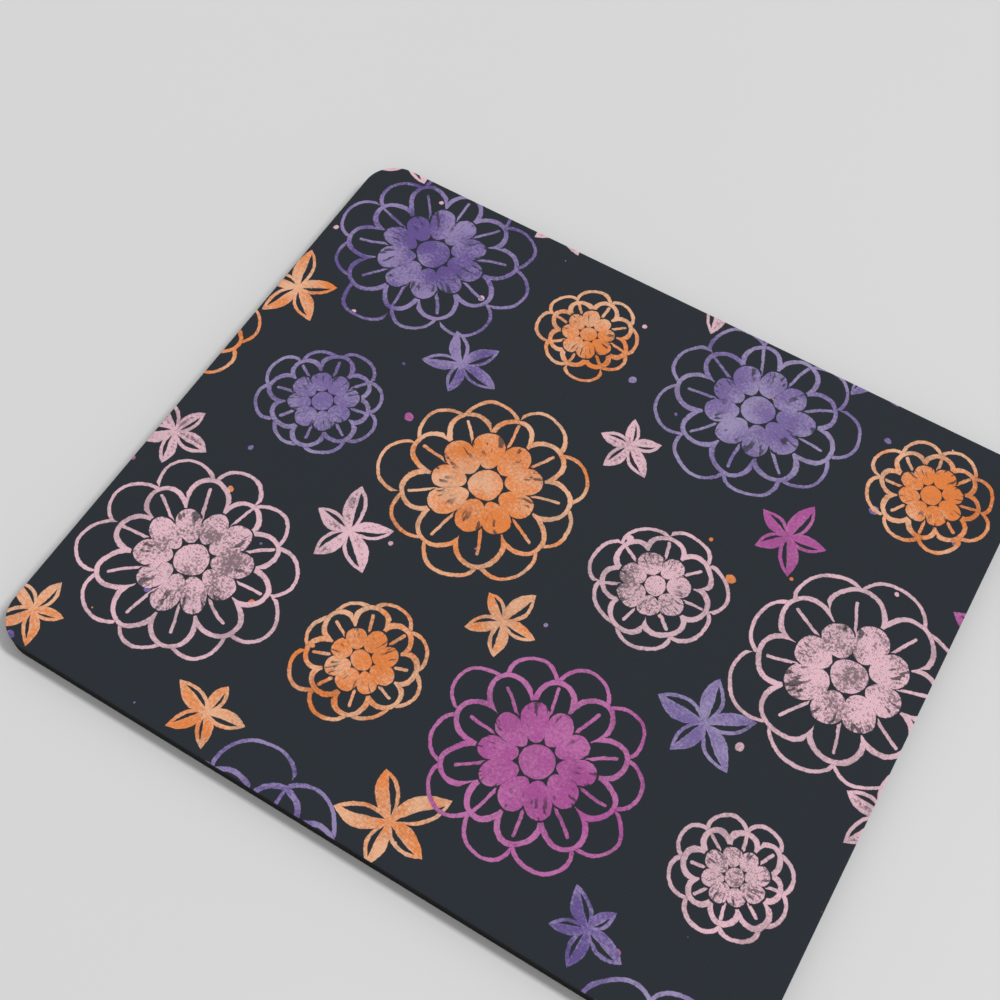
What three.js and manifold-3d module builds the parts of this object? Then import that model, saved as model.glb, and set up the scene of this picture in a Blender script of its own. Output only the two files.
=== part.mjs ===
// A cloth-faced rubber mouse pad: printed cloth, bonded by a thin film to a moulded rubber base.
// Millimetres, +Z up. The origin is on the desk, under the middle of the pad.
import * as THREE from 'three';
import Module from 'manifold-3d';

// Outline of the die cut
const PAD_WIDTH = 235;
const PAD_DEPTH = 204;
const CORNER_RADIUS = 11;
const CORNER_STEPS = 6;

// Layers, from the desk up
const RUBBER_THICKNESS = 5.65;
const FILM_THICKNESS = 0.2;
const CLOTH_THICKNESS = 0.5;

// Cut edge: the die rolls the cloth over, and the foam behind it springs back a little hollow
const CLOTH_ROLL = 0.3;
const FILM_SETBACK = 0.15;
const WALL_DRAW_IN = 0.35;
const FOOT_ROUND = 0.2;
const ROUND_STEPS = 3;
const WALL_STEPS = 4;
const LARGEST_ROUND_SHARE = 0.8;

// Anti-slip tread: wavy grooves with sloped walls, inside a plain border
const TREAD_MARGIN = 9;
const GROOVE_PITCH = 6;
const GROOVE_MOUTH = 2.4;
const GROOVE_FLOOR = 1.4;
const GROOVE_DEPTH = 0.8;
const WAVE_LENGTH = 36;
const WAVE_RISE = 5;
const WAVE_STEPS = 6;
const CUTTER_OVERRUN = 1;

const QUARTER_TURN = Math.PI / 2;
const FULL_TURN = Math.PI * 2;

const wasm = await Module();
wasm.setup();

// Rounded rectangle of the pad, drawn in all round by the inset
function padOutline(inset) {
  const radius = CORNER_RADIUS - inset;
  const x = PAD_WIDTH / 2 - CORNER_RADIUS;
  const y = PAD_DEPTH / 2 - CORNER_RADIUS;
  const corners = [[x, y], [-x, y], [-x, -y], [x, -y]];
  const shape = new THREE.Shape();
  corners.forEach(([cx, cy], turn) => {
    shape.absarc(cx, cy, radius, turn * QUARTER_TURN, (turn + 1) * QUARTER_TURN);
  });
  return shape.getPoints(CORNER_STEPS);
}

// Closed skin through rings with equal numbers of points, listed from the lowest up
function loft(rings) {
  const count = rings[0].points.length;
  const positions = rings.flatMap(({ z, points }) => points.flatMap(({ x, y }) => [x, y, z]));
  const index = [];
  for (let level = 1; level < rings.length; level += 1) {
    const above = level * count;
    const below = above - count;
    for (let i = 0; i < count; i += 1) {
      const next = (i + 1) % count;
      index.push(below + i, below + next, above + next);
      index.push(below + i, above + next, above + i);
    }
  }
  const lid = (rings.length - 1) * count;
  for (const [a, b, c] of THREE.ShapeUtils.triangulateShape(rings[0].points, [])) {
    index.push(c, b, a);
  }
  for (const [a, b, c] of THREE.ShapeUtils.triangulateShape(rings.at(-1).points, [])) {
    index.push(lid + a, lid + b, lid + c);
  }
  const geometry = new THREE.BufferGeometry();
  geometry.setAttribute('position', new THREE.Float32BufferAttribute(positions, 3));
  geometry.setIndex(index);
  geometry.computeVertexNormals();
  return geometry;
}

// Layer of the pad whose edge follows a profile of heights and insets
function padLayer(profile) {
  return loft(profile.map(({ z, inset }) => ({ z, points: padOutline(inset) })));
}

function toSolid(geometry) {
  const vertProperties = geometry.attributes.position.array;
  const triVerts = new Uint32Array(geometry.index.array);
  return new wasm.Manifold(new wasm.Mesh({ numProp: 3, vertProperties, triVerts }));
}

function toGeometry(solid) {
  const { vertProperties, triVerts } = solid.getMesh();
  const geometry = new THREE.BufferGeometry();
  geometry.setAttribute('position', new THREE.BufferAttribute(vertProperties, 3));
  geometry.setIndex(new THREE.BufferAttribute(triVerts, 1));
  geometry.computeVertexNormals();
  return geometry;
}

// Rubber base: rounded foot, then a wall that is hollow at mid height
function rubberProfile() {
  const foot = Math.min(FOOT_ROUND, LARGEST_ROUND_SHARE * RUBBER_THICKNESS);
  const profile = [];
  for (let step = 0; step <= ROUND_STEPS; step += 1) {
    const angle = (step / ROUND_STEPS) * QUARTER_TURN;
    profile.push({ z: foot * (1 - Math.cos(angle)), inset: foot * (1 - Math.sin(angle)) });
  }
  for (let step = 1; step <= WALL_STEPS; step += 1) {
    const share = step / WALL_STEPS;
    const z = foot + (RUBBER_THICKNESS - foot) * share;
    profile.push({ z, inset: WALL_DRAW_IN * Math.sin(Math.PI * share) });
  }
  profile.at(-1).z = RUBBER_THICKNESS;
  profile.at(-1).inset = 0;
  return profile;
}

// One groove of the tread as a ribbon outline, its width measured across the wave
function grooveOutline(middle, width) {
  const length = PAD_WIDTH - 2 * TREAD_MARGIN;
  const waves = Math.max(1, Math.round(length / WAVE_LENGTH));
  const steps = waves * WAVE_STEPS;
  const lower = [];
  const upper = [];
  for (let step = 0; step <= steps; step += 1) {
    const x = length * (step / steps - 0.5);
    const y = middle + (WAVE_RISE / 2) * Math.sin(FULL_TURN * ((step + 0.5) / WAVE_STEPS));
    lower.push(new THREE.Vector2(x, y - width / 2));
    upper.unshift(new THREE.Vector2(x, y + width / 2));
  }
  return [...lower, ...upper];
}

function grooveCutter(middle) {
  return toSolid(loft([
    { z: -CUTTER_OVERRUN, points: grooveOutline(middle, GROOVE_MOUTH) },
    { z: 0, points: grooveOutline(middle, GROOVE_MOUTH) },
    { z: GROOVE_DEPTH, points: grooveOutline(middle, GROOVE_FLOOR) },
  ]));
}

function rubberBase() {
  const field = PAD_DEPTH - 2 * TREAD_MARGIN;
  const rows = Math.floor((field - WAVE_RISE - GROOVE_MOUTH) / GROOVE_PITCH) + 1;
  let base = toSolid(padLayer(rubberProfile()));
  for (let row = 0; row < rows; row += 1) {
    const middle = (row - (rows - 1) / 2) * GROOVE_PITCH;
    base = base.subtract(grooveCutter(middle));
  }
  return toGeometry(base);
}

// Film: a plain sheet that stops just short of the cut edge
const filmBottom = RUBBER_THICKNESS;
const filmTop = filmBottom + FILM_THICKNESS;

function bondingFilm() {
  return padLayer([
    { z: filmBottom, inset: FILM_SETBACK },
    { z: filmTop, inset: FILM_SETBACK },
  ]);
}

// Cloth face: square below, with its upper rim rolled over
function printedClothFace() {
  const roll = Math.min(CLOTH_ROLL, LARGEST_ROUND_SHARE * CLOTH_THICKNESS);
  const rimStart = filmTop + CLOTH_THICKNESS - roll;
  const profile = [{ z: filmTop, inset: 0 }];
  for (let step = 0; step <= ROUND_STEPS; step += 1) {
    const angle = (step / ROUND_STEPS) * QUARTER_TURN;
    profile.push({ z: rimStart + roll * Math.sin(angle), inset: roll * (1 - Math.cos(angle)) });
  }
  return padLayer(profile);
}

function piece(name, geometry, material) {
  const mesh = new THREE.Mesh(geometry, new THREE.MeshStandardMaterial(material));
  mesh.name = name;
  return mesh;
}

const mousePad = new THREE.Group();
mousePad.add(piece('rubber_base', rubberBase(), { color: 0x1a1a1b, roughness: 0.85, metalness: 0 }));
mousePad.add(piece('bonding_film', bondingFilm(), { color: 0x55565a, roughness: 0.5, metalness: 0 }));
mousePad.add(piece('printed_cloth_face', printedClothFace(), { color: 0x2e3238, roughness: 0.95, metalness: 0 }));

export default mousePad;
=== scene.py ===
"""Cloth-faced rubber mouse pad with a chalky flower print, lying on a pale desk top."""
import math

import bmesh
import bpy
from mathutils import Color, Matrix, Quaternion, Vector, noise


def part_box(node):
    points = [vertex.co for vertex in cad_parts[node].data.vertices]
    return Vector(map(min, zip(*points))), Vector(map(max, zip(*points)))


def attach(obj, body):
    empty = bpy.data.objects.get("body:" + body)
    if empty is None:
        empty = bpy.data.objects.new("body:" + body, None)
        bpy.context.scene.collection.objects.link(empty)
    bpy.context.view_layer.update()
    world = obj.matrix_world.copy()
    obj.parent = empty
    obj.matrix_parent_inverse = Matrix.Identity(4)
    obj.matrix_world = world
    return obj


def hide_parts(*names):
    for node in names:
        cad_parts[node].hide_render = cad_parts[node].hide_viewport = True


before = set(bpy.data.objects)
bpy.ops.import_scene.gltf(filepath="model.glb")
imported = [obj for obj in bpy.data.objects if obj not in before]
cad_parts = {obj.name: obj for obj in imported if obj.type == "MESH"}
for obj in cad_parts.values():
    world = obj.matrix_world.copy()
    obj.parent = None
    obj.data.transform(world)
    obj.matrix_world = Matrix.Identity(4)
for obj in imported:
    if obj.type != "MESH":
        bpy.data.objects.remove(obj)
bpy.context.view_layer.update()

MM = 0.001
FULL_TURN = math.tau
QUARTER_TURN = FULL_TURN / 4
BRIGHTEST = 255


def seen_colour(red, green, blue):
    """Linear colour of a surface that shows these sRGB values."""
    shares = Color((red / BRIGHTEST, green / BRIGHTEST, blue / BRIGHTEST))
    return (*shares.from_srgb_to_scene_linear(), 1.0)


# Die-cut outline and layer heights, from the frame
cloth_low, cloth_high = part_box("printed_cloth_face")
film_low, film_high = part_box("bonding_film")
rubber_low, rubber_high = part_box("rubber_base")
HALF_WIDTH = cloth_high[0]
HALF_DEPTH = cloth_high[1]
CLOTH_THICKNESS = cloth_high[2] - cloth_low[2]
FILM_SETBACK = cloth_high[0] - film_high[0]
CORNER_RADIUS = 11 * MM
CORNER_SEGMENTS = 16
STRAIGHT_EDGE_CUTS = 40
SNAP = 0.01 * MM

# Camera of the photograph
CAMERA_PLACE = Vector((81.01, -174.21, 381.66)) * MM
CAMERA_AIM = Vector((-15.98, 8.23, 6.32)) * MM
CAMERA_ROLL = math.radians(3.085)
CAMERA_LENS = 51.876
CAMERA_SENSOR = 36.0

# Light from a high window on the far right, over the light of a pale room
KEY_PLACE = Vector((11.70, 6.69, 18.0))
KEY_SIZE = (7.92, 3.78)
KEY_POWER = 3510.0
ROOM_LIGHT = 0.565
ROOM_COLOUR = (1.0, 1.0, 1.0, 1.0)

# Desk top
DESK_REACH = 20.0
DESK_GAP = 0.05 * MM
DESK_SHADE = seen_colour(211, 211, 212)
DESK_TONE = seen_colour(214, 214, 215)
DESK_CLOUDS_PER_MM = 0.004
DESK_ROUGHNESS = 0.6

# Cloth rim, as heights below the face and distances in from the cut
RIM_PROFILE = (
    (0.30 * MM, 0.00 * MM),
    (0.20 * MM, 0.02 * MM),
    (0.12 * MM, 0.09 * MM),
    (0.06 * MM, 0.24 * MM),
    (0.03 * MM, 0.60 * MM),
    (0.01 * MM, 1.30 * MM),
    (0.00 * MM, 2.40 * MM),
    (0.00 * MM, 3.20 * MM),
)

# Rubber wall
FOOT_ROUND = 0.2 * MM
FOOT_STEPS = 4
WALL_DRAW_IN = 0.35 * MM
WALL_STEPS = 8
CUT_WANDER = 0.06 * MM
CUT_WANDER_LENGTH = 9 * MM

# Anti-slip tread under the rubber: distances from the middle of a groove, with shares of its depth
TREAD_MARGIN = 9 * MM
GROOVE_PITCH = 6 * MM
GROOVE_DEPTH = 0.8 * MM
GROOVE_ROWS = 30
GROOVE_PROFILE = (
    (-1.45 * MM, 0.00),
    (-1.20 * MM, 0.06),
    (-0.80 * MM, 0.92),
    (-0.55 * MM, 1.00),
    (0.55 * MM, 1.00),
    (0.80 * MM, 0.92),
    (1.20 * MM, 0.06),
    (1.45 * MM, 0.00),
)
WAVE_COUNT = 6
WAVE_STEPS = 24
WAVE_HEIGHT = 2.5 * MM
WAVE_START = FULL_TURN / 12

# Bake maps: a hidden side is laid out small, and a face past this share of upright counts as level
MAP_MARGIN = 0.8 * MM
HIDDEN_SCALE = 0.05
LEVEL = 0.5
CLOTH_MAP_SPAN = 2 * (HALF_WIDTH + CLOTH_THICKNESS + MAP_MARGIN)
RUBBER_MAP_SPAN = 2 * (HALF_WIDTH + MAP_MARGIN)
SECOND_MATERIAL = 1

# Inks of the print: full and thin colour, and the share that wears off the solid parts
CHARCOAL = seen_colour(42, 47, 53)
CUT_EDGE = seen_colour(27, 28, 30)
ORANGE = {"deep": seen_colour(222, 128, 66), "pale": seen_colour(228, 176, 142), "wear": 0.14}
PURPLE = {"deep": seen_colour(99, 81, 140), "pale": seen_colour(146, 131, 174), "wear": 0.14}
PINK = {"deep": seen_colour(224, 183, 194), "pale": seen_colour(206, 172, 182), "wear": 0.7}
MAGENTA = {"deep": seen_colour(164, 80, 144), "pale": seen_colour(186, 112, 164), "wear": 0.14}
LILAC = {"deep": seen_colour(116, 99, 152), "pale": seen_colour(154, 141, 178), "wear": 0.14}
INKS = (ORANGE, PINK, PURPLE, LILAC, PINK, MAGENTA, ORANGE, ORANGE)
INK_COUNT = float(len(INKS))
INK_THERE = 0.03

# Flower print, in millimetres
REPEAT_WIDTH = 116.0
ROW_HEIGHT = 66.0
ROW_SLIDE = 0.5
BIG_FLOWER = {"shift": (-22.0, 10.0), "reach": (31.0, 36.0), "petals": (8.0, 10.0), "seed": 3.0}
SMALL_FLOWER = {"shift": (36.0, 10.0), "reach": (17.0, 21.0), "petals": (7.0, 8.0), "seed": 8.0}
ROW_INK_STEP = 3.0
SMALL_FLOWER_INK_STEP = 4.0
CENTRE_SWAY = 6.0
LINE = 0.5
LINE_SWELL = 0.5
BACK_LINE_SHARE = 0.8
VEIN_LINE = 0.36
EDGE_SOFTNESS = 0.22
OVERLAP_GAP = (0.55, 0.85)

# Rings of petals, as shares of the flower's reach, or of the room that a petal has in its ring
INNER_RING = {"tip": 0.54, "root": 0.17, "fullness": 0.72}
FRONT_RING = {"tip": 0.82, "root": 0.20, "fullness": 0.74}
BACK_RING = {"tip": 1.00, "root": 0.30, "fullness": 0.80}
VEIN_END = 0.68
HEART = 0.15
LINES_START = (0.20, 0.24)
PETAL_SKEW = 0.08
SHORTEST_PETAL = 0.86
PETAL_WIDTH_AT_ROOT = 0.62
PETAL_WIDENING = 0.5

# Streaks where the brush ran dry towards the ends of the solid petals
STREAK_LENGTH = 0.22
STREAKS_ROUND = 9.0
STREAK_SEED = 40.0
STREAK_LEVEL = (0.57, 0.64)
DRY_START = 0.24
DRY_END = 0.40
DRY_SHARE = 0.8

# Leaves and loose spatters of ink, in millimetres
LEAF_SHIFT = (7.0, 43.0)
LEAF_REACH = (12.0, 17.0)
LEAF_COUNT = 5.0
LEAF_WIDTH = 0.2
SHORTEST_LEAF = 0.7
LEAF_LINE = 0.43
LEAF_RIB = 0.37
LEAF_SEED = 14.0
DOT_SPACING = 27.0
DOT_REACH = 2.0
BLANK_CELLS = 0.35

# Hand-drawn lines, and wear and wash of the ink: noise sizes are patches in each millimetre
DRAWN_SWAY = {"per_mm": 0.08, "by_mm": 1.2}
DRAWN_TREMOR = {"per_mm": 0.8, "by_mm": 0.22}
CHALK = {"per_mm": 1.5, "detail": 2.0}
PATCHES = {"per_mm": 0.12, "detail": 3.0}
CHALK_SHARE = 0.5
WORN_LEVEL = (0.47, 0.60)
LINE_WEAR = 0.3
FRECKLES = {"per_mm": 1.9, "detail": 1.0}
FRECKLE_LEVEL = (0.60, 0.70)
WASH = {"per_mm": 0.07}
MOTTLE = {"per_mm": 1.1, "detail": 3.0, "roughness": 0.6}
MOTTLE_SHARE = 0.4
SOLIDS_DEEPER = 0.04
PALE_LEVEL = (0.38, 0.58)

# Plain weave of the cloth, in millimetres, and the cut through it as shares of the cloth's thickness
YARN_PITCH = 0.6
YARN_SWAY = {"per_mm": 0.9, "by_mm": 0.05}
YARN_DIVE = 0.3
FIBRES_PER_MM = 4.0
FIBRE_SHARE = 0.5
# Painted shade between the yarns and painted highlight on their crowns, as shares of the cloth's
# brightness, from the weave's height with uneven fibre tone
PAINTED_YARN_SHADE_AND_HIGHLIGHT = (0.80, 1.12)
CUT_LEVEL = (0.52, 0.36)
CLOTH_FINISH = {"Roughness": 0.94, "Specular IOR Level": 0.12, "Sheen Weight": 0.03}
WEAVE_BUMP = {"strength": 0.6, "depth": 0.06 * MM}

# Undyed back of the cloth
BACK_SHADE = seen_colour(60, 62, 66)
BACK_TONE = seen_colour(72, 74, 78)
BACK_CLOUDS_PER_MM = 0.4
BACK_ROUGHNESS = 0.95

# Film
FILM_SHADE = seen_colour(40, 41, 44)
FILM_TONE = seen_colour(58, 59, 62)
FILM_CLOUDS = {"per_mm": 0.25, "detail": 3.0}
FILM_ROUGHNESS = (0.35, 0.65)

# Foamed rubber where the die cut it, with painted shade in its pores and voids: pores and voids are
# measured in cells
FOAM_SHADE = seen_colour(27, 27, 28)
FOAM_TONE = seen_colour(35, 35, 36)
PAINTED_PORE_SHADE = seen_colour(9, 9, 9)
FOAM_CLOUDS = {"per_mm": 0.15, "detail": 3.0}
PORES_PER_MM = 2.6
PORE_EDGE = (0.1, 0.55)
VOIDS_PER_MM = 0.55
VOID_REACH = 0.22
VOID_CHANCE = (0.6, 1.0)
VOID_EDGE = (0.0, 0.06)
FOAM_FINISH = {"Roughness": 0.9, "Specular IOR Level": 0.15}
PORE_BUMP = {"strength": 0.6, "depth": 0.12 * MM}

# Closed skin of the rubber where it met the mould
SKIN_SHADE = seen_colour(20, 20, 21)
SKIN_TONE = seen_colour(34, 34, 35)
BLOOM = {"per_mm": 0.08, "detail": 4.0}
BLOOM_LEVEL = (0.35, 0.75)
GRAIN = {"per_mm": 2.2, "detail": 3.0, "roughness": 0.6}
SKIN_ROUGHNESS = (0.5, 0.75)
SKIN_GLOSS = 0.3
GRAIN_BUMP = {"strength": 0.35, "depth": 0.08 * MM}


# Shaping helpers
def rounded_ring(bm, height):
    """One flat face with rounded corners. Returns it with its ring of edges."""
    bmesh.ops.create_grid(bm, x_segments=1, y_segments=1, size=1)
    bmesh.ops.scale(bm, vec=(HALF_WIDTH, HALF_DEPTH, 1), verts=bm.verts)
    bmesh.ops.translate(bm, vec=(0, 0, height), verts=bm.verts)
    bmesh.ops.bevel(
        bm,
        geom=bm.verts[:],
        offset=CORNER_RADIUS,
        offset_type="OFFSET",
        segments=CORNER_SEGMENTS,
        profile=0.5,
        affect="VERTICES",
        material=-1,
    )
    straight = [edge for edge in bm.edges if edge.calc_length() > CORNER_RADIUS]
    bmesh.ops.subdivide_edges(bm, edges=straight, cuts=STRAIGHT_EDGE_CUTS)
    return bm.faces[:], bm.edges[:]


def set_on_cut(vert, height, inset):
    """Puts a vertex of a ring at a height and a distance in from the die-cut outline."""
    core_x = HALF_WIDTH - CORNER_RADIUS
    core_y = HALF_DEPTH - CORNER_RADIUS
    core = Vector((max(-core_x, min(core_x, vert.co.x)), max(-core_y, min(core_y, vert.co.y)), 0))
    outward = Vector((vert.co.x, vert.co.y, 0)) - core
    vert.co = core + outward.normalized() * (CORNER_RADIUS - inset)
    vert.co.z = height


def raise_wall(bm, ring, profile):
    """Extrudes a ring of edges through (height, inset) pairs and returns the last ring."""
    for height, inset in profile:
        made = bmesh.ops.extrude_edge_only(bm, edges=ring)["geom"]
        ring = [part for part in made if isinstance(part, bmesh.types.BMEdge) and part.is_boundary]
        for vert in {vert for edge in ring for vert in edge.verts}:
            set_on_cut(vert, height, inset)
    return ring


def cut_into_squares(bm, faces):
    """Cuts a flat face across, between the points along its straight edges."""
    geom = {part for face in faces for part in (face, *face.edges, *face.verts)}
    for half, across in ((HALF_WIDTH, Vector((1, 0, 0))), (HALF_DEPTH, Vector((0, 1, 0)))):
        for step in range(STRAIGHT_EDGE_CUTS + 2):
            share = 2 * step / (STRAIGHT_EDGE_CUTS + 1) - 1
            place = across * (half - CORNER_RADIUS) * share
            made = bmesh.ops.bisect_plane(bm, geom=list(geom), dist=SNAP, plane_co=place, plane_no=across)
            geom = set(made["geom"])


def lay_out(bm, span, place_on_map):
    """Gives a piece its own bake map, from the place on the map of each corner of each face."""
    layer = bm.loops.layers.uv.new("OFBake")
    for face in bm.faces:
        for loop in face.loops:
            loop[layer].uv = place_on_map(face, loop.vert.co) / span


def finish_piece(bm, name, materials):
    """Makes an object of a shape, with its faces outwards and smooth."""
    bmesh.ops.recalc_face_normals(bm, faces=bm.faces)
    for face in bm.faces:
        face.smooth = True
    mesh = bpy.data.meshes.new(name)
    bm.to_mesh(mesh)
    bm.free()
    for material in materials:
        mesh.materials.append(material)
    piece = bpy.data.objects.new(name, mesh)
    bpy.context.collection.objects.link(piece)
    return piece


# Sockets of a mix node that is set to colours
MIX_FIRST = 6
MIX_SECOND = 7
MIX_RESULT = 2


# Material helpers
class Wire:
    """A value inside a material. Sums on wires add the nodes that work them out."""

    def __init__(self, socket):
        self.socket = socket
        self.tree = socket.id_data

    def maths(self, operation, *others):
        inputs = dict(enumerate((self, *others)))
        return Wire(add_node(self.tree, "ShaderNodeMath", inputs, operation=operation).outputs[0])

    def __add__(self, other):
        return self.maths("ADD", other)

    def __sub__(self, other):
        return self.maths("SUBTRACT", other)

    def __rsub__(self, other):
        return self.maths("MULTIPLY_ADD", -1.0, other)

    def __mul__(self, other):
        return self.maths("MULTIPLY", other)

    def __truediv__(self, other):
        return self.maths("DIVIDE", other)

    def __rtruediv__(self, other):
        return self.maths("POWER", -1.0) * other

    def __abs__(self):
        return self.maths("ABSOLUTE")

    __radd__ = __add__
    __rmul__ = __mul__

    def over(self, other):
        """The larger of two values."""
        return self.maths("MAXIMUM", other)

    def between(self, start, end):
        """Smooth step from 0 at start to 1 at end."""
        inputs = {"Value": self, "From Min": start, "From Max": end}
        node = add_node(self.tree, "ShaderNodeMapRange", inputs, interpolation_type="SMOOTHSTEP")
        return Wire(node.outputs["Result"])

    def parts(self):
        """The three numbers of a place or a colour."""
        return [Wire(socket) for socket in add_node(self.tree, "ShaderNodeSeparateXYZ", {0: self}).outputs]

    def moved(self, by):
        """A place moved by an offset."""
        node = add_node(self.tree, "ShaderNodeVectorMath", {0: self, 1: by}, operation="ADD")
        return Wire(node.outputs["Vector"])

    def cloud(self, per_mm, detail=2.0, roughness=0.5):
        """Noise round 0.5, its patches about 1 / per_mm millimetres across."""
        inputs = {"Vector": self, "Scale": per_mm, "Detail": detail, "Roughness": roughness}
        return Wire(add_node(self.tree, "ShaderNodeTexNoise", inputs).outputs["Fac"])

    def wander(self, per_mm, by_mm):
        """Offset that pushes a drawn line about, by up to about that many millimetres."""
        inputs = {"Vector": self, "Scale": per_mm, "Detail": 1.0}
        colour = Wire(add_node(self.tree, "ShaderNodeTexNoise", inputs).outputs["Color"])
        inputs = {0: colour, 1: (2 * by_mm,) * 3, 2: (-by_mm,) * 3}
        node = add_node(self.tree, "ShaderNodeVectorMath", inputs, operation="MULTIPLY_ADD")
        return Wire(node.outputs["Vector"])

    def cells(self, per_mm, dimensions="3D"):
        """Distance to the middle of the nearest cell, in cells, with three numbers drawn for that cell."""
        inputs = {"Vector": self, "Scale": per_mm}
        node = add_node(self.tree, "ShaderNodeTexVoronoi", inputs, voronoi_dimensions=dimensions)
        return Wire(node.outputs["Distance"]), Wire(node.outputs["Color"]).parts()


def feed(node, inputs):
    """Sets a node's sockets, by a link where the value is a wire."""
    for slot, value in inputs.items():
        if isinstance(value, Wire):
            value.tree.links.new(value.socket, node.inputs[slot])
        else:
            node.inputs[slot].default_value = value


def add_node(tree, kind, inputs, **settings):
    """A new node with its settings and inputs."""
    node = tree.nodes.new(kind)
    for setting, value in settings.items():
        setattr(node, setting, value)
    feed(node, inputs)
    return node


def new_material(name):
    """A material with its shader, and the point on the piece in millimetres."""
    material = bpy.data.materials.new(name)
    material.use_nodes = True
    tree = material.node_tree
    place = Wire(add_node(tree, "ShaderNodeTexCoord", {}).outputs["Object"])
    in_mm = add_node(tree, "ShaderNodeMapping", {"Vector": place, "Scale": (1 / MM,) * 3})
    return material, tree.nodes["Principled BSDF"], Wire(in_mm.outputs["Vector"])


def joined(first, second, third):
    """One place from three numbers."""
    return Wire(add_node(first.tree, "ShaderNodeCombineXYZ", {0: first, 1: second, 2: third}).outputs[0])


def chances(first, second, third):
    """Three random numbers that stay the same for the same three numbers."""
    inputs = {"Vector": joined(first, second, third)}
    return Wire(add_node(first.tree, "ShaderNodeTexWhiteNoise", inputs).outputs["Color"]).parts()


def drawn_from(limits, chance):
    """A value between two limits."""
    return limits[0] + (limits[1] - limits[0]) * chance


def mix_colour(share, first, second):
    """From the first colour at share 0 to the second at 1."""
    inputs = {"Factor": share, MIX_FIRST: first, MIX_SECOND: second}
    return Wire(add_node(share.tree, "ShaderNodeMix", inputs, data_type="RGBA").outputs[MIX_RESULT])


def dimmed(colour, share):
    """A share of a colour's brightness."""
    node = add_node(colour.tree, "ShaderNodeVectorMath", {0: colour, "Scale": share}, operation="SCALE")
    return Wire(node.outputs["Vector"])


def raise_surface(shader, height, strength, depth):
    """Bump on a shader from a height."""
    inputs = {"Height": height, "Strength": strength, "Distance": depth}
    bump = add_node(height.tree, "ShaderNodeBump", inputs)
    feed(shader, {"Normal": Wire(bump.outputs["Normal"])})


# Print
def of_ink(index, colours):
    """The colour of one ink, chosen by its whole number."""
    ramp = add_node(index.tree, "ShaderNodeValToRGB", {"Fac": (index + 0.5) / INK_COUNT})
    ramp.color_ramp.interpolation = "CONSTANT"
    stops = ramp.color_ramp.elements
    for number, colour in enumerate(colours):
        stop = stops[number] if number < len(stops) else stops.new(number / INK_COUNT)
        stop.position = number / INK_COUNT
        stop.color = colour
    return Wire(ramp.outputs["Color"])


def distance(across, along):
    """How far a place is from the middle of a motif."""
    return (across * across + along * along).maths("SQRT")


def nearest_in_row(x, y, row, width, slide):
    """Place against the nearest motif in one row, with the motif's column and row."""
    slide = (row * slide).maths("FRACT")
    column = (x / width - slide).maths("ROUND")
    return x - (column + slide) * width, y - row * ROW_HEIGHT, column, row


def brick_repeat(place, shift):
    """Place against the nearest flower of a brick repeat, with the flower's column and row."""
    x, y, _ = place.parts()
    x = x - shift[0]
    y = y - shift[1]
    row = (y / ROW_HEIGHT).maths("FLOOR")
    lower = nearest_in_row(x, y, row, REPEAT_WIDTH, ROW_SLIDE)
    upper = nearest_in_row(x, y, row + 1.0, REPEAT_WIDTH, ROW_SLIDE)
    choose = distance(*lower[:2]).maths("GREATER_THAN", distance(*upper[:2]))
    return [low + (high - low) * choose for low, high in zip(lower, upper)]


def round_centre(across, along, chance):
    """Distance from a motif's swayed centre, and a positive angle round it."""
    across = across + (chance[0] - 0.5) * CENTRE_SWAY
    along = along + (chance[1] - 0.5) * CENTRE_SWAY
    angle = along.maths("ARCTAN2", across) + chance[1] * FULL_TURN + FULL_TURN
    return distance(across, along), angle


def within_sector(radius, angle, count, seed, ring):
    """Place along and across the nearest petal of a ring, with numbers drawn for that petal."""
    sector = FULL_TURN / count
    turn = angle / sector
    number = turn.maths("FLOOR").maths("FLOORED_MODULO", count)
    chance = chances(number, seed, ring)
    swing = (turn.maths("FRACT") - 0.5 + (chance[0] - 0.5) * PETAL_SKEW) * sector
    return radius * swing.maths("COSINE"), radius * swing.maths("SINE"), chance


def petal_ring(radius, angle, count, seed, reach, tip, root, fullness):
    """Distance to the outline of round petals, below 0 inside, and the place along and across a petal."""
    along, across, chance = within_sector(radius, angle, count, seed, fullness)
    tip = tip * reach * drawn_from((SHORTEST_PETAL, 1.0), chance[1])
    root = root * reach
    half_length = (tip - root) * 0.5
    room = tip * (0.5 * FULL_TURN / count).maths("TANGENT")
    half_width = room * fullness * (PETAL_WIDTH_AT_ROOT + PETAL_WIDENING * along / tip)
    x = (along - (tip + root) * 0.5) / half_length
    y = across / half_width
    size = distance(x, y)
    slope = distance(x / half_length, y / half_width)
    return size * (size - 1.0) / slope, along, across


def stroke(edge, half_width):
    """1 on a drawn line that follows edge = 0, 0 off it."""
    return (abs(edge) - half_width).between(EDGE_SOFTNESS, 0.0)


def solid(edge):
    """1 inside an outline, 0 outside it."""
    return edge.between(EDGE_SOFTNESS, 0.0)


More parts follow.
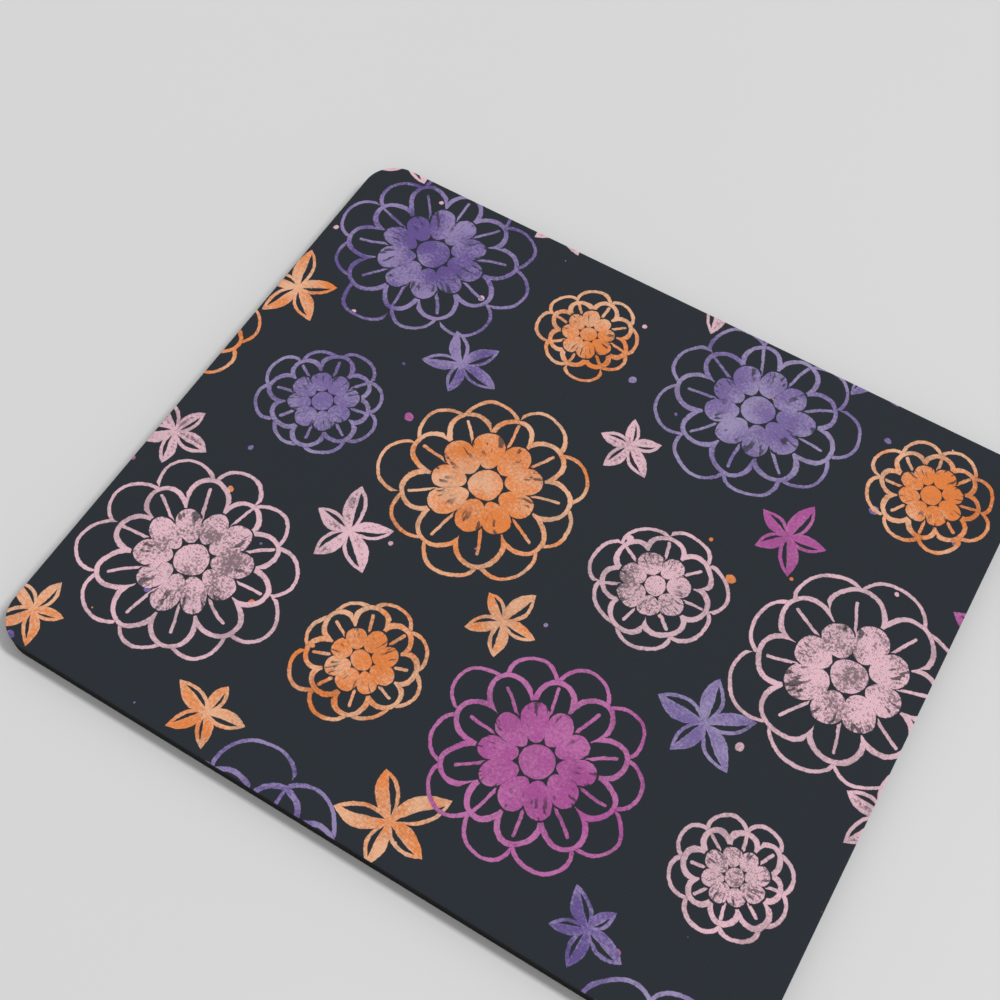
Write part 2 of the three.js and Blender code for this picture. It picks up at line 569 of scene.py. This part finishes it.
def chalk_flowers(place, shift, reach, petals, seed):
    """Line-drawn flowers with solid inner petals. Returns lines, solids and colour number."""
    across, along, column, row = brick_repeat(place, shift)
    chance = chances(column, row, seed)
    radius, angle = round_centre(across, along, chance)
    reach = drawn_from(reach, chance[2])
    count = petals[0] + (chance[0] * (petals[1] - petals[0] + 1.0)).maths("FLOOR")
    half_turned = angle + 0.5 * FULL_TURN / count
    inner, _, _ = petal_ring(radius, half_turned, count, chance[2], reach, **INNER_RING)
    front, along, across = petal_ring(radius, angle, count, chance[0], reach, **FRONT_RING)
    back, _, _ = petal_ring(radius, half_turned, count, chance[1], reach, **BACK_RING)
    line = LINE + LINE_SWELL * radius.between(reach, 0.0)
    behind = stroke(back, line * BACK_LINE_SHARE) * front.between(*OVERLAP_GAP)
    past_end = (along - VEIN_END * reach).over(0.0)
    veins = stroke(distance(past_end, across), VEIN_LINE)
    lines = stroke(front, line).over(behind).over(veins)
    outside = inner.between(*OVERLAP_GAP) * radius.between(LINES_START[0] * reach, LINES_START[1] * reach)
    streaks = joined(radius * STREAK_LENGTH, angle * STREAKS_ROUND, chance[2] * STREAK_SEED).cloud(1.0)
    dry = streaks.between(*STREAK_LEVEL) * radius.between(DRY_START * reach, DRY_END * reach)
    solids = solid(inner) * (1.0 - DRY_SHARE * dry)
    return lines * outside, solids.over(solid(radius - HEART * reach)), column + row * ROW_INK_STEP


def leaf_rosettes(place):
    """Pointed leaves round a centre, one half of each solid. Returns lines, solids and colour number."""
    x, y, _ = place.parts()
    y = y - LEAF_SHIFT[1]
    row = (y / ROW_HEIGHT).maths("ROUND")
    across, along, column, row = nearest_in_row(x - LEAF_SHIFT[0], y, row, REPEAT_WIDTH / 2, 0.0)
    chance = chances(column, row, LEAF_SEED)
    radius, angle = round_centre(across, along, chance)
    along, across, own = within_sector(radius, angle, LEAF_COUNT, chance[2], LEAF_SEED)
    tip = drawn_from(LEAF_REACH, chance[2]) * drawn_from((SHORTEST_LEAF, 1.0), own[1])
    from_middle = 2.0 * along / tip - 1.0
    edge = abs(across) - LEAF_WIDTH * tip * (1.0 - from_middle * from_middle)
    lines = stroke(edge, LEAF_LINE).over(stroke(across, LEAF_RIB) * solid(edge))
    return lines, solid(edge) * solid(-1.0 * across), (chance[1] * INK_COUNT).maths("FLOOR")


def ink_dots(place):
    """Loose round spatters between the flowers. Returns lines, solids and colour number."""
    middle, chance = place.cells(1 / DOT_SPACING, "2D")
    dots = solid(middle * DOT_SPACING - (chance[0] - BLANK_CELLS) * DOT_REACH)
    return dots, dots, (chance[1] * INK_COUNT).maths("FLOOR")


def print_over(under, upper):
    """One motif printed over another, each as lines, solids and colour number."""
    on_top = upper[0].over(upper[1]).maths("GREATER_THAN", INK_THERE)
    index = under[2] + (upper[2] - under[2]) * on_top
    return under[0].over(upper[0]), under[1].over(upper[1]), index


def flower_print(place):
    """Colour of the printed ink, and how much of it covers the ground."""
    drawn = place.moved(place.wander(**DRAWN_SWAY)).moved(place.wander(**DRAWN_TREMOR))
    motifs = print_over(ink_dots(drawn), leaf_rosettes(drawn))
    lines, solids, index = chalk_flowers(drawn, **SMALL_FLOWER)
    motifs = print_over(motifs, (lines, solids, index + SMALL_FLOWER_INK_STEP))
    lines, solids, index = print_over(motifs, chalk_flowers(drawn, **BIG_FLOWER))
    index = index.maths("FLOORED_MODULO", INK_COUNT)
    chalk = place.cloud(**CHALK) * CHALK_SHARE
    worn = (chalk + place.cloud(**PATCHES) * (1.0 - CHALK_SHARE)).between(*WORN_LEVEL)
    freckles = place.cloud(**FRECKLES).between(*FRECKLE_LEVEL)
    wear = of_ink(index, [(ink["wear"],) * 3 + (1.0,) for ink in INKS])
    cover = (lines * (1.0 - LINE_WEAR * worn)).over(solids * (1.0 - wear * worn.over(freckles)))
    wash = place.cloud(**WASH) * (1.0 - MOTTLE_SHARE) + place.cloud(**MOTTLE) * MOTTLE_SHARE
    paleness = (wash - solids * SOLIDS_DEEPER).between(*PALE_LEVEL)
    deep = of_ink(index, [ink["deep"] for ink in INKS])
    pale = of_ink(index, [ink["pale"] for ink in INKS])
    return mix_colour(paleness, deep, pale), cover


# Materials of the pad
def plain_weave(place):
    """Height of the cloth's plain weave: 1 on the crown of a yarn, 0 between yarns, with uneven fibre."""
    x, y, _ = place.moved(place.wander(**YARN_SWAY)).parts()
    warp = (x * (math.pi / YARN_PITCH)).maths("SINE")
    weft = (y * (math.pi / YARN_PITCH)).maths("SINE")
    warp_on_top = (warp * weft).between(-YARN_DIVE, YARN_DIVE)
    yarn = abs(weft) + (abs(warp) - abs(weft)) * warp_on_top
    return yarn + FIBRE_SHARE * (place.cloud(FIBRES_PER_MM) - 0.5)


def printed_cloth():
    """Charcoal cloth with chalky ink on it, dark where the die cut it, with painted shade between the
    yarns and painted highlight on their crowns.
    """
    material, shader, place = new_material("printed_cloth")
    ink, cover = flower_print(place)
    height = plain_weave(place)
    # Painted shade between the yarns and painted highlight on their crowns: the colour follows the weave's
    # height, which also holds uneven fibre tone
    colour = dimmed(mix_colour(cover, CHARCOAL, ink), drawn_from(PAINTED_YARN_SHADE_AND_HIGHLIGHT, height))
    above_back = (place.parts()[2] - cloth_low[2] / MM) / (CLOTH_THICKNESS / MM)
    colour = mix_colour(above_back.between(*CUT_LEVEL), colour, CUT_EDGE)
    feed(shader, {"Base Color": colour, **CLOTH_FINISH})
    raise_surface(shader, height, **WEAVE_BUMP)
    return material


def cloth_back():
    """Undyed back of the cloth, where it is bonded."""
    material, shader, place = new_material("cloth_back")
    colour = mix_colour(place.cloud(BACK_CLOUDS_PER_MM), BACK_SHADE, BACK_TONE)
    feed(shader, {"Base Color": colour, "Roughness": BACK_ROUGHNESS})
    return material


def hot_melt_film():
    """Grey film, cloudy where it melted and set."""
    material, shader, place = new_material("hot_melt_film")
    clouds = place.cloud(**FILM_CLOUDS)
    colour = mix_colour(clouds, FILM_SHADE, FILM_TONE)
    feed(shader, {"Base Color": colour, "Roughness": drawn_from(FILM_ROUGHNESS, clouds)})
    return material


def cut_foam():
    """Foamed rubber where the die cut it: open cells, and a wider void here and there, with painted shade
    in the pores and voids.
    """
    material, shader, place = new_material("cut_foam")
    pore, _ = place.cells(PORES_PER_MM)
    void, chance = place.cells(VOIDS_PER_MM)
    intact = (void - VOID_REACH * chance[0].between(*VOID_CHANCE)).between(*VOID_EDGE)
    walls = pore.between(*PORE_EDGE) * intact
    colour = mix_colour(place.cloud(**FOAM_CLOUDS), FOAM_SHADE, FOAM_TONE)
    # Painted shade in the pores and voids, where the cell walls give way
    colour = mix_colour(walls, PAINTED_PORE_SHADE, colour)
    feed(shader, {"Base Color": colour, **FOAM_FINISH})
    raise_surface(shader, walls, **PORE_BUMP)
    return material


def moulded_skin():
    """Closed skin of the rubber where it met the mould: fine grain and a faint bloom."""
    material, shader, place = new_material("moulded_skin")
    bloom = place.cloud(**BLOOM)
    colour = mix_colour(bloom.between(*BLOOM_LEVEL), SKIN_SHADE, SKIN_TONE)
    roughness = drawn_from(SKIN_ROUGHNESS, bloom)
    feed(shader, {"Base Color": colour, "Roughness": roughness, "Specular IOR Level": SKIN_GLOSS})
    raise_surface(shader, place.cloud(**GRAIN), **GRAIN_BUMP)
    return material


# Cloth
def cloth_on_map(face, point):
    """The printed face laid flat with its rim folded out, and the back small below it."""
    if face.normal.z < -LEVEL:
        corner = Vector((HALF_WIDTH, HALF_DEPTH))
        return (point.xy + corner) * HIDDEN_SCALE + Vector((MAP_MARGIN, MAP_MARGIN))
    fold_out = 1 + (cloth_high[2] - point.z) / HALF_DEPTH
    half_height = HALF_DEPTH + CLOTH_THICKNESS + MAP_MARGIN
    middle = Vector((CLOTH_MAP_SPAN / 2, CLOTH_MAP_SPAN - half_height))
    return point.xy * fold_out + middle


def printed_cloth_face():
    """Cloth whose rim the die rolled over."""
    bm = bmesh.new()
    _, ring = rounded_ring(bm, cloth_low[2])
    profile = [(cloth_high[2] - drop, inset) for drop, inset in RIM_PROFILE]
    ring = raise_wall(bm, ring, profile)
    cut_into_squares(bm, bmesh.ops.edgeloop_fill(bm, edges=ring)["faces"])
    bmesh.ops.recalc_face_normals(bm, faces=bm.faces)
    for face in bm.faces:
        if face.normal.z < -LEVEL:
            face.material_index = SECOND_MATERIAL
    lay_out(bm, CLOTH_MAP_SPAN, cloth_on_map)
    return finish_piece(bm, "cloth_face", [printed_cloth(), cloth_back()])


# Film
def bonding_film():
    """Plain sheet that stops just short of the cut."""
    bm = bmesh.new()
    _, ring = rounded_ring(bm, film_low[2])
    for vert in bm.verts:
        set_on_cut(vert, film_low[2], FILM_SETBACK)
    ring = raise_wall(bm, ring, [(film_high[2], FILM_SETBACK)])
    bmesh.ops.edgeloop_fill(bm, edges=ring)
    return finish_piece(bm, "film_layer", [hot_melt_film()])


# Rubber
def rubber_on_map(face, point):
    """The underside laid flat, the four walls as strips above it, and the hidden top small beside them."""
    from_corner = point.xy + Vector((HALF_WIDTH, HALF_DEPTH))
    margin = Vector((MAP_MARGIN, MAP_MARGIN))
    if face.material_index == SECOND_MATERIAL:
        return from_corner + margin
    strips_start = 2 * (HALF_DEPTH + MAP_MARGIN)
    if face.normal.z > LEVEL:
        width = 2 * HALF_WIDTH * HIDDEN_SCALE
        return from_corner * HIDDEN_SCALE + Vector((RUBBER_MAP_SPAN - MAP_MARGIN - width, strips_start))
    if abs(face.normal.x) > abs(face.normal.y):
        along = from_corner.y
        strip = int(face.normal.x > 0)
    else:
        along = from_corner.x
        strip = 2 + int(face.normal.y > 0)
    return Vector((along + MAP_MARGIN, strips_start + strip * (rubber_high[2] + MAP_MARGIN) + point.z))


def tread_lines():
    """Distances across the tread, with the share of the groove's depth and of its wave there."""
    half_field = HALF_DEPTH - TREAD_MARGIN
    lines = [(-half_field, 0.0, 0.0)]
    for row in range(GROOVE_ROWS):
        middle = (row - (GROOVE_ROWS - 1) / 2) * GROOVE_PITCH
        lines += [(middle + offset, depth, 1.0) for offset, depth in GROOVE_PROFILE]
    return lines + [(half_field, 0.0, 0.0)]


def press_tread(bm):
    """Grid of the underside, pressed into wavy grooves."""
    lines = tread_lines()
    rows = len(lines) - 1
    columns = WAVE_COUNT * WAVE_STEPS
    half_length = HALF_WIDTH - TREAD_MARGIN
    made = bmesh.ops.create_grid(bm, x_segments=columns, y_segments=rows, size=1)
    for vert in made["verts"]:
        column = round((vert.co.x + 1) / 2 * columns)
        across, depth, sway = lines[round((vert.co.y + 1) / 2 * rows)]
        if column in (0, columns):
            depth = 0.0
        swing = math.sin(FULL_TURN * column / WAVE_STEPS + WAVE_START)
        vert.co.x = half_length * (2 * column / columns - 1)
        vert.co.y = across + sway * WAVE_HEIGHT * swing
        vert.co.z = rubber_low[2] + depth * GROOVE_DEPTH


def rubber_wall_profile():
    """Heights and insets of the wall: a rounded foot, then a hollow at mid height."""
    profile = []
    for step in range(1, FOOT_STEPS + 1):
        angle = QUARTER_TURN * step / FOOT_STEPS
        profile.append((FOOT_ROUND * (1 - math.cos(angle)), FOOT_ROUND * (1 - math.sin(angle))))
    wall = rubber_high[2] - FOOT_ROUND
    for step in range(1, WALL_STEPS + 1):
        share = step / WALL_STEPS
        profile.append((FOOT_ROUND + wall * share, WALL_DRAW_IN * math.sin(math.pi * share)))
    return profile


def rubber_base():
    """Foamed rubber with a wandering cut, and the tread moulded into its underside."""
    bm = bmesh.new()
    faces, ring = rounded_ring(bm, rubber_low[2])
    bmesh.ops.delete(bm, geom=faces, context="FACES_ONLY")
    for vert in bm.verts:
        set_on_cut(vert, rubber_low[2], FOOT_ROUND)
    top_ring = raise_wall(bm, ring, rubber_wall_profile())
    bmesh.ops.edgeloop_fill(bm, edges=top_ring)
    cut_faces = bm.faces[:]
    press_tread(bm)
    rims = [edge for edge in bm.edges if edge.is_boundary]
    bmesh.ops.triangle_fill(bm, use_beauty=True, edges=rims)
    for face in set(bm.faces).difference(cut_faces):
        face.material_index = SECOND_MATERIAL
    bmesh.ops.recalc_face_normals(bm, faces=bm.faces)
    lay_out(bm, RUBBER_MAP_SPAN, rubber_on_map)
    for vert in bm.verts:
        if FOOT_ROUND < vert.co.z < rubber_high[2] - FOOT_ROUND:
            sway = noise.noise(vert.co / CUT_WANDER_LENGTH) * CUT_WANDER
            vert.co += Vector((vert.co.x, vert.co.y, 0)).normalized() * sway
    return finish_piece(bm, "rubber_layer", [cut_foam(), moulded_skin()])


# Desk, light and camera
def desk_top():
    """Pale desk that the pad lies on."""
    material, shader, place = new_material("desk_top")
    colour = mix_colour(place.cloud(DESK_CLOUDS_PER_MM), DESK_SHADE, DESK_TONE)
    feed(shader, {"Base Color": colour, "Roughness": DESK_ROUGHNESS})
    bm = bmesh.new()
    bmesh.ops.create_grid(bm, x_segments=1, y_segments=1, size=DESK_REACH)
    bmesh.ops.translate(bm, vec=(0, 0, -DESK_GAP), verts=bm.verts)
    finish_piece(bm, "desk_top", [material])


def light_the_desk():
    """Soft light from the window and from the room."""
    key = bpy.data.lights.new("window_light", "AREA")
    key.shape = "RECTANGLE"
    key.size, key.size_y = KEY_SIZE
    key.energy = KEY_POWER
    lamp = bpy.data.objects.new("window_light", key)
    lamp.location = KEY_PLACE
    bpy.context.collection.objects.link(lamp)
    world = bpy.data.worlds.new("room_light")
    world.use_nodes = True
    feed(world.node_tree.nodes["Background"], {"Color": ROOM_COLOUR, "Strength": ROOM_LIGHT})
    bpy.context.scene.world = world
    bpy.context.scene.view_settings.view_transform = "Standard"


def place_camera():
    """Camera at the viewing angle of the photograph."""
    lens = bpy.data.cameras.new("photo_camera")
    lens.sensor_width = CAMERA_SENSOR
    lens.lens = CAMERA_LENS
    camera = bpy.data.objects.new("photo_camera", lens)
    level = (CAMERA_AIM - CAMERA_PLACE).to_track_quat("-Z", "Y")
    camera.rotation_mode = "QUATERNION"
    camera.rotation_quaternion = level @ Quaternion((0, 0, 1), CAMERA_ROLL)
    camera.location = CAMERA_PLACE
    bpy.context.collection.objects.link(camera)
    bpy.context.scene.camera = camera


place_camera()
light_the_desk()
desk_top()

cloth = printed_cloth_face()
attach(cloth, "root")
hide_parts("printed_cloth_face")

film = bonding_film()
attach(film, "root")
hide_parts("bonding_film")

rubber = rubber_base()
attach(rubber, "root")
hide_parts("rubber_base")
